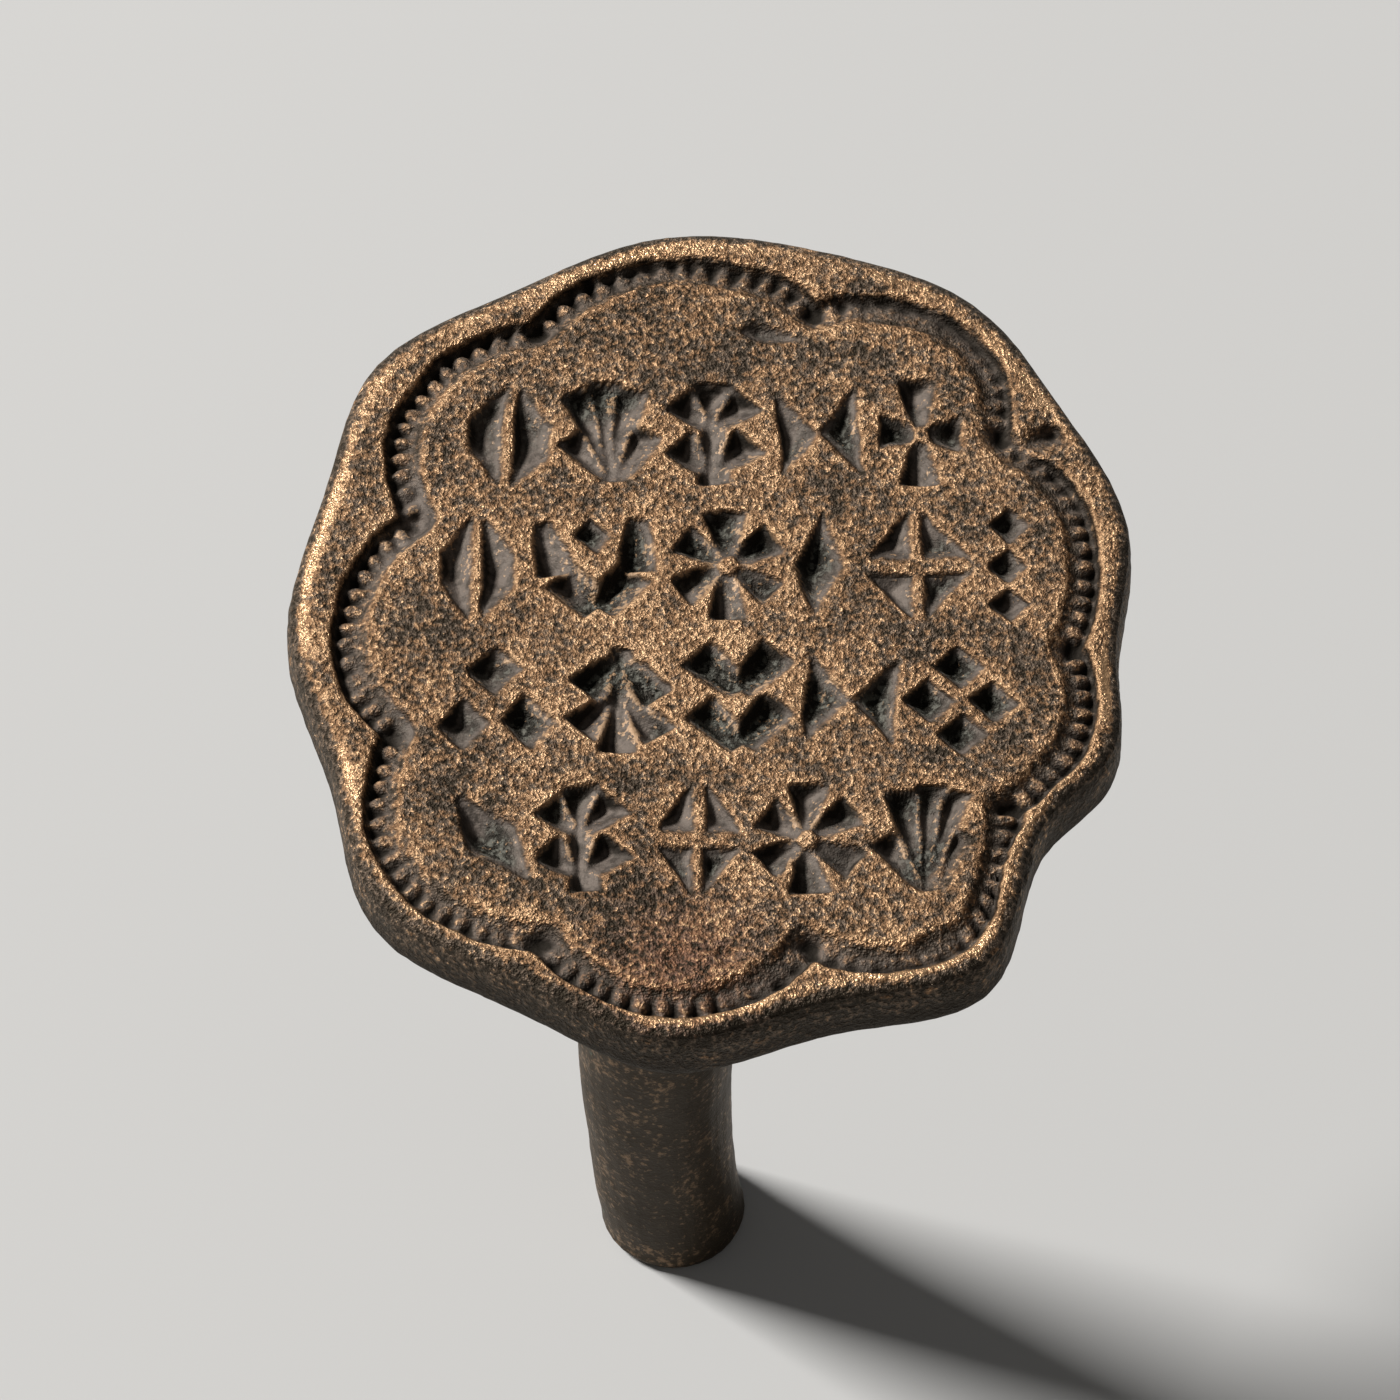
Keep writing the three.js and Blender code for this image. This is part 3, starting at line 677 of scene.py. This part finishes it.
    def blurred(self, size):
        """The heights with everything smaller than `size` smoothed away."""
        rows, columns = self.heights.shape
        across = np.fft.fftfreq(columns)[None, :] ** 2
        along = np.fft.fftfreq(rows)[:, None] ** 2
        keep = np.exp(-2 * (math.pi * size / RASTER_PITCH) ** 2 * (across + along))
        return np.fft.ifft2(np.fft.fft2(self.heights) * keep).real


def slope_of(grid):
    return np.hypot(*np.gradient(grid, RASTER_PITCH))


def face_raster(plate):
    """The heights of the die face, with a whole rim and with fuller beads that are worn in places."""
    raster = Raster(plate)
    shape = raster.heights.shape
    raster.make_rim_whole()
    border = raster.sunk_border()
    raster.blend(raster.swollen(BEAD_GROWTH), border)
    raster.blend(raster.fuller(plate.top - CHANNEL_DEPTH, BEAD_HEIGHT, BEAD_FULLNESS), border)
    wear = BEAD_LOSS * patches(raster.points, *BEAD_WEAR_PATCHES).reshape(shape) * border
    raster.blend(raster.rubbed_along(BEAD_PITCH), wear)
    raster.heights = raster.heights + relief(raster.points, BEAD_PITS).reshape(shape) * wear
    return raster


def disc_grid(cells):
    """Radius from 0 to 1 and angle at each place of a square grid that is bent into a round disc."""
    side = np.linspace(-1, 1, cells + 1)
    u, v = np.meshgrid(side, side)
    steep = np.abs(v) > np.abs(u)
    long = np.where(steep, v, u)
    short = np.where(steep, u, v)
    turn = math.pi / 4 * short / np.where(long == 0, 1, long)
    angle = np.where(steep, math.pi / 2 - turn, turn)
    x, y = long * np.cos(angle), long * np.sin(angle)
    return np.hypot(x, y), np.arctan2(y, x)


def border_of(numbers):
    """The outer ring of a square grid of numbers, anticlockwise from the middle of its right side."""
    last = numbers.shape[0] - 1
    ring = np.concatenate(
        [numbers[:last, last], numbers[last, last:0:-1], numbers[last:0:-1, 0], numbers[0, :last]]
    )
    return np.roll(ring, -last // 2)


class Face:
    """The points of the die face, in a grid that is bent to the plate's outline."""

    def __init__(self, plate):
        self.plate, self.raster = plate, face_raster(plate)
        radius, angle = disc_grid(FACE_CELLS)
        self.shape = radius.shape
        share, angle = radius.ravel(), angle.ravel()
        mean = plate.outline.mean()
        reach = share * (mean + (plate.along(plate.outline, angle) - mean) * share**2)
        self.x = plate.centre[0] + reach * np.cos(angle)
        self.y = plate.centre[1] + reach * np.sin(angle)
        self.level = np.stack([self.x, self.y, np.zeros(len(share))], 1)

        self.inset = (1 - share) * mean + FACE_INSET
        self.rolled = 1 - smoothstep(ROLL_FROM, ROLL_TO, self.inset)
        self.border = smoothstep(CHANNEL_FROM, CHANNEL_TO, share)

        # The cuts were made by hand, so their lines waver
        inside = 1 - smoothstep(WAVER_END, 1, share)
        waver_x, waver_y = (
            inside * relief(self.level, *((height, size, seed + step) for height, size, step in WAVER))
            for seed in WAVER_SEEDS
        )
        self.cut_x, self.cut_y = self.x + waver_x, self.y + waver_y

        self.z = self.cut_heights()
        self.depth = plate.top - self.z
        self.sunk = self.sunk_share()
        self.steep = self.painted_shade_share()
        self.high = self.rubbed_share()
        rough = patches(self.level, *ROUGH_PATCHES)
        self.floor_rough = rough * smoothstep(ROUGH_SEEN, ROUGH_FULL, self.depth) * (1 - self.border)
        crest = np.exp(-(((self.inset - CREST_INSET) / CREST_WIDTH) ** 2))
        self.polish = crest * patches(self.level, *POLISH_PATCHES)
        red_x, red_y = self.x / MM - RED_PLACE[0], self.y / MM - RED_PLACE[1]
        self.red = np.exp(-((red_x**2 + red_y**2) / RED_REACH**2))
        self.z = self.finished_heights()

    def at_cuts(self, grid):
        """The grid's value at each point, along the wavering lines."""
        return self.raster.sample(grid, self.cut_x, self.cut_y)

    def cut_heights(self):
        """The heights with their edges worn by different amounts, and with steep walls softened."""
        worn = self.raster.blurred(WORN_EDGE)
        z = self.at_cuts(self.raster.blurred(EDGE_WEAR))
        z = z + (self.at_cuts(worn) - z) * patches(self.level, *EDGE_WEAR_PATCHES)
        walls = self.at_cuts(smoothstep(WALL_FROM, WALL_TO, slope_of(worn)))
        return z + (self.at_cuts(self.raster.blurred(WALL_WEAR)) - z) * walls

    def sunk_share(self):
        in_mark = smoothstep(CUT_SEEN, FULL_CUT, self.depth)
        in_channel = smoothstep(CHANNEL_SEEN, FULL_CHANNEL, self.depth)
        return (in_mark + (in_channel - in_mark) * self.border) * (1 - self.rolled)

    def painted_shade_share(self):
        """Where steep sides and narrow gaps are painted black, as painted shadow and shade."""
        slope = self.at_cuts(slope_of(self.raster.blurred(EDGE_WEAR)))
        steep = smoothstep(EASY_SLOPE, STEEP_SLOPE, slope)
        steep = steep * smoothstep(STEEP_SEEN, STEEP_FULL, self.depth)
        steep = steep * (1 - BORDER_EASE * self.border * smoothstep(EASE_FROM, EASE_TO, self.depth))
        gap = np.clip((self.at_cuts(self.raster.blurred(GAP_SIZE)) - self.z) / GAP_FALL, 0, 1)
        gap = gap * self.border * smoothstep(GAP_FROM, GAP_TO, self.depth)
        return np.maximum(steep, gap) * (1 - self.rolled)

    def rubbed_share(self):
        """What stands out is rubbed, the middle of the face is lighter, and the outside of the rim is
        less rubbed.
        """
        lip = np.clip((self.z - self.at_cuts(self.raster.blurred(LIP_SIZE))) / LIP_RISE, -1, 1)
        ground = np.clip((self.z - self.at_cuts(self.raster.blurred(OPEN_SIZE))) / OPEN_RISE, -1, 1)
        high = (lip * (1 - self.sunk * self.border) + OPEN_SHARE * ground) * (1 - self.rolled)
        outside = 1 - smoothstep(OUTSIDE_FROM, OUTSIDE_TO, self.inset)
        off_x, off_y = self.x - self.plate.centre[0], self.y - self.plate.centre[1]
        middle = np.exp(-((off_x**2 + off_y**2) / LIGHT_MIDDLE_REACH**2))
        return high - OUTSIDE_LOSS * outside + LIGHT_MIDDLE_SHARE * middle

    def finished_heights(self):
        """The heights with the rim's rolled edge, uneven floors and dents."""
        rolled = self.raster.sample(self.raster.blurred(ROLL_WEAR), self.x, self.y)
        z = self.z + (rolled - self.z) * self.rolled
        points = np.stack([self.x, self.y, z], 1)
        z = z + relief(points, CHANNEL_LUMPS) * self.sunk * self.border
        z = z + relief(self.level, FLOOR_LUMPS) * self.floor_rough
        for dent_x, dent_y, dent_radius, dent_depth in DENTS:
            away = np.hypot(self.x / MM - dent_x, self.y / MM - dent_y) / dent_radius
            z = z - dent_depth * MM * (1 - smoothstep(0, 1, away))
        return z


def side_rings(plate):
    """The side of the plate, in level rings down to its back."""
    angles = plate.angles
    rings = []
    for drop in np.linspace(SIDE_TOP, plate.top - plate.back - SIDE_END, SIDE_RINGS):
        if drop > COARSE_FROM:
            angles = plate.angles[::2]
        z = plate.top - drop
        rings.append(around(plate.centre, angles, reach_in(plate.tree, plate.centre, angles, z), z))
    return rings


def back_rings(plate):
    """The back, from the side in to the boss, down the boss, and up into the socket."""
    tree, axis, back, bottom = plate.tree, plate.axis, plate.back, plate.bottom
    angles = plate.angles[::4]
    radii = reach_in(tree, plate.centre, angles, back + BACK_EDGE)
    edge = around(plate.centre, angles, radii, back)
    angles = np.arctan2(edge[:, 1] - axis[1], edge[:, 0] - axis[0])
    root = around(axis, angles, reach_in(tree, axis, angles, back - BOSS_ROOT), back)
    rings = [edge + (root - edge) * share for share in np.linspace(0, 1, BACK_RINGS)]
    for z in np.linspace(back, bottom, BOSS_RINGS)[1:-1]:
        rings.append(around(axis, angles, reach_in(tree, axis, angles, z), z))
    socket = reach_out(tree, axis, angles, bottom + SOCKET_END)
    boss = reach_in(tree, axis, angles, bottom + BOSS_END)
    for share in np.linspace(0, 1, LIP_RINGS):
        rings.append(around(axis, angles, boss + (socket - boss) * share, bottom))
    socket_top = height_over(tree, [axis], bottom - FAR, UP)[0]
    for z in np.linspace(bottom, socket_top, SOCKET_RINGS)[1:]:
        rings.append(around(axis, angles, socket, z))
    return rings, (*axis, socket_top)


def die_plate():
    plate = Plate()
    face = Face(plate)
    shell = Shell()
    ring = shell.add_grid(np.stack([face.x, face.y, face.z], 1), face.shape)
    face_count = shell.count
    rings, socket_top = back_rings(plate)
    _, last = shell.down_through([*side_rings(plate), *rings], above=[ring])
    shell.close_below(last, socket_top)

    points = shell.all_points()
    is_face = np.arange(len(points)) < face_count
    in_socket = ~is_face & (np.hypot(*(points[:, :2] - plate.axis).T) < SOCKET_REACH)
    below = points[face_count:, 2]
    nothing = np.zeros(len(below))
    # Painted shade: the side darkens further below its widest outline, and the back a little
    dark = smoothstep(0, SHADE_DEPTH, plate.widest - below)
    side_shade = dark * np.where(below > plate.back + BACK_EDGE, WALL_SHADE, BACK_SHADE)
    # The steep attribute holds painted shade: black steep sides and gaps on the face, a darker lower
    # side and back
    attributes = {
        "cut": np.concatenate([face.sunk, nothing]),
        "steep": np.concatenate([face.steep, side_shade]),
        "high": np.concatenate([face.high, SIDE_RUB - SIDE_SHADE_LOSS * dark]),
        "red": np.concatenate([face.red, nothing]),
        "floor_rough": np.concatenate([face.floor_rough, nothing]),
        "polish": np.concatenate([face.polish, nothing]),
    }
    points = relaxed(points, shell.faces, ~is_face & ~in_socket, RELAX_ROUNDS)

    # Cast grain and soft waves, upwards on the face, outwards on the side and downwards on the back
    grain = relief(points, *PLATE_GRAIN) * (1 - CUT_SMOOTHNESS * attributes["cut"])
    rise = grain + relief(points, PLATE_WAVES) - PLATE_SINK
    on_side = ~is_face & ~in_socket & (points[:, 2] > plate.back + WALL_END)
    on_back = ~is_face & ~in_socket & ~on_side & (points[:, 2] > plate.bottom + WALL_END)
    way = np.zeros_like(points)
    way[is_face] = UP
    way[on_side] = outward(plate.centre, points)[on_side]
    way[on_back] = DOWN
    points = points + way * rise[:, None]

    piece = shell.mesh_object("die_face_plate", points, die_bronze(), **attributes)
    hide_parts("die_plate")
    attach(piece, "root")
    return piece


def shank_middle(tree, z):
    """Where the middle of the bowed shank stands at a height."""
    right, left = reach_in(tree, (0, 0), (0, math.pi), z)
    return ((right - left) / 2, 0)


def shank():
    tree = tree_of("shank")
    low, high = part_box("shank")
    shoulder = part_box("die_plate")[0].z
    angles = np.linspace(0, TURN, SHANK_SIDES, endpoint=False)

    def ring(z, inside=0):
        """A ring at height z, with the reach of the solid at that height or a little inside it."""
        middle = shank_middle(tree, z + inside)
        return around(middle, angles, reach_in(tree, middle, angles, z + inside), z)

    tenon_levels = np.linspace(high.z - TENON_EDGE, shoulder, TENON_RINGS)
    tenon = [ring(high.z, -HAIR), *(ring(z) for z in tenon_levels[:-1]), ring(shoulder, HAIR)]
    steps = int((shoulder - low.z - FOOT_HEIGHT) / SHANK_STEP)
    shaft = [ring(z, -HAIR) for z in np.linspace(shoulder, low.z + FOOT_HEIGHT, steps)]
    foot = [ring(low.z + level * MM) for level in FOOT_LEVELS]
    sole = foot[-1].copy()
    sole[:, 2] = low.z
    middle = sole.mean(0)
    soles = [middle + (sole - middle) * share for share in SOLE_SHARES]

    shell = Shell()
    first, last = shell.down_through([*tenon, *shaft, *foot, *soles])
    shell.close_above(first, (*shank_middle(tree, high.z - HAIR), high.z))
    shell.close_below(last, middle)
    points = shell.all_points()
    in_sight = smoothstep(0, FOOT_CALM, points[:, 2]) * (points[:, 2] < shoulder - HAIR)
    rise = relief(points, *SHANK_RELIEF) * in_sight
    points = points + outward(middle[:2], points) * rise[:, None]

    piece = shell.mesh_object("shank_handle", points, shank_bronze())
    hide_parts("shank")
    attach(piece, "root")
    return piece


def braze():
    tree = tree_of("braze_fillet")
    low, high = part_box("braze_fillet")
    axis = middle_of(low, high)
    angles = np.linspace(0, TURN, BRAZE_SIDES, endpoint=False)
    levels = np.linspace(high.z - HAIR, low.z + HAIR, BRAZE_LEVELS)
    slope = [around(axis, angles, reach_in(tree, axis, angles, z), z) for z in levels]
    up_levels = levels[::-BRAZE_WALL_STEP]
    wall = [around(axis, angles, reach_out(tree, axis, angles, z), z) for z in up_levels]
    shell = Shell()
    first, last = shell.down_through([*slope, *wall])
    shell.band(last, first)
    points = shell.all_points()
    on_slope = np.arange(len(points)) < len(slope) * len(angles)
    rise = relief(points, *BRAZE_RELIEF) * on_slope
    points = points + outward(axis, points) * rise[:, None]

    piece = shell.mesh_object("braze_ring", points, braze_metal())
    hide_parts("braze_fillet")
    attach(piece, "root")
    return piece


def floor():
    mesh = bpy.data.meshes.new("floor")
    signs = ((-1, -1), (1, -1), (1, 1), (-1, 1))
    mesh.from_pydata([(x * FLOOR_REACH, y * FLOOR_REACH, 0) for x, y in signs], [], [(0, 1, 2, 3)])
    mesh.materials.append(Paint("pale_floor").finish(FLOOR_COLOUR, 0.0, FLOOR_ROUGHNESS))
    piece = bpy.data.objects.new("floor", mesh)
    bpy.context.scene.collection.objects.link(piece)


def lamp(name, place, size, power):
    """A square soft lamp that looks at the middle of the seal's face."""
    light = bpy.data.lights.new(name, "AREA")
    light.size = size
    light.energy = power
    piece = bpy.data.objects.new(name, light)
    piece.location = place
    piece.rotation_euler = (LAMP_AIM - Vector(place)).to_track_quat("-Z", "Y").to_euler()
    bpy.context.scene.collection.objects.link(piece)


def studio():
    scene = bpy.context.scene
    scene.view_settings.view_transform = "Standard"
    world = bpy.data.worlds.new("studio")
    world.use_nodes = True
    background = world.node_tree.nodes["Background"]
    background.inputs["Color"].default_value = SKY_COLOUR
    background.inputs["Strength"].default_value = SKY_STRENGTH
    scene.world = world
    for name, settings in LAMPS.items():
        lamp(name, *settings)
    floor()


def camera():
    data = bpy.data.cameras.new("camera")
    data.lens = CAMERA_LENS
    data.sensor_width = CAMERA_SENSOR
    data.clip_start, data.clip_end = CAMERA_NEAR, CAMERA_FAR
    piece = bpy.data.objects.new("camera", data)
    piece.location = CAMERA_PLACE
    piece.rotation_euler = (math.radians(CAMERA_TILT), 0, 0)
    bpy.context.scene.collection.objects.link(piece)
    bpy.context.scene.camera = piece


camera()
studio()
die_plate()
shank()
braze()
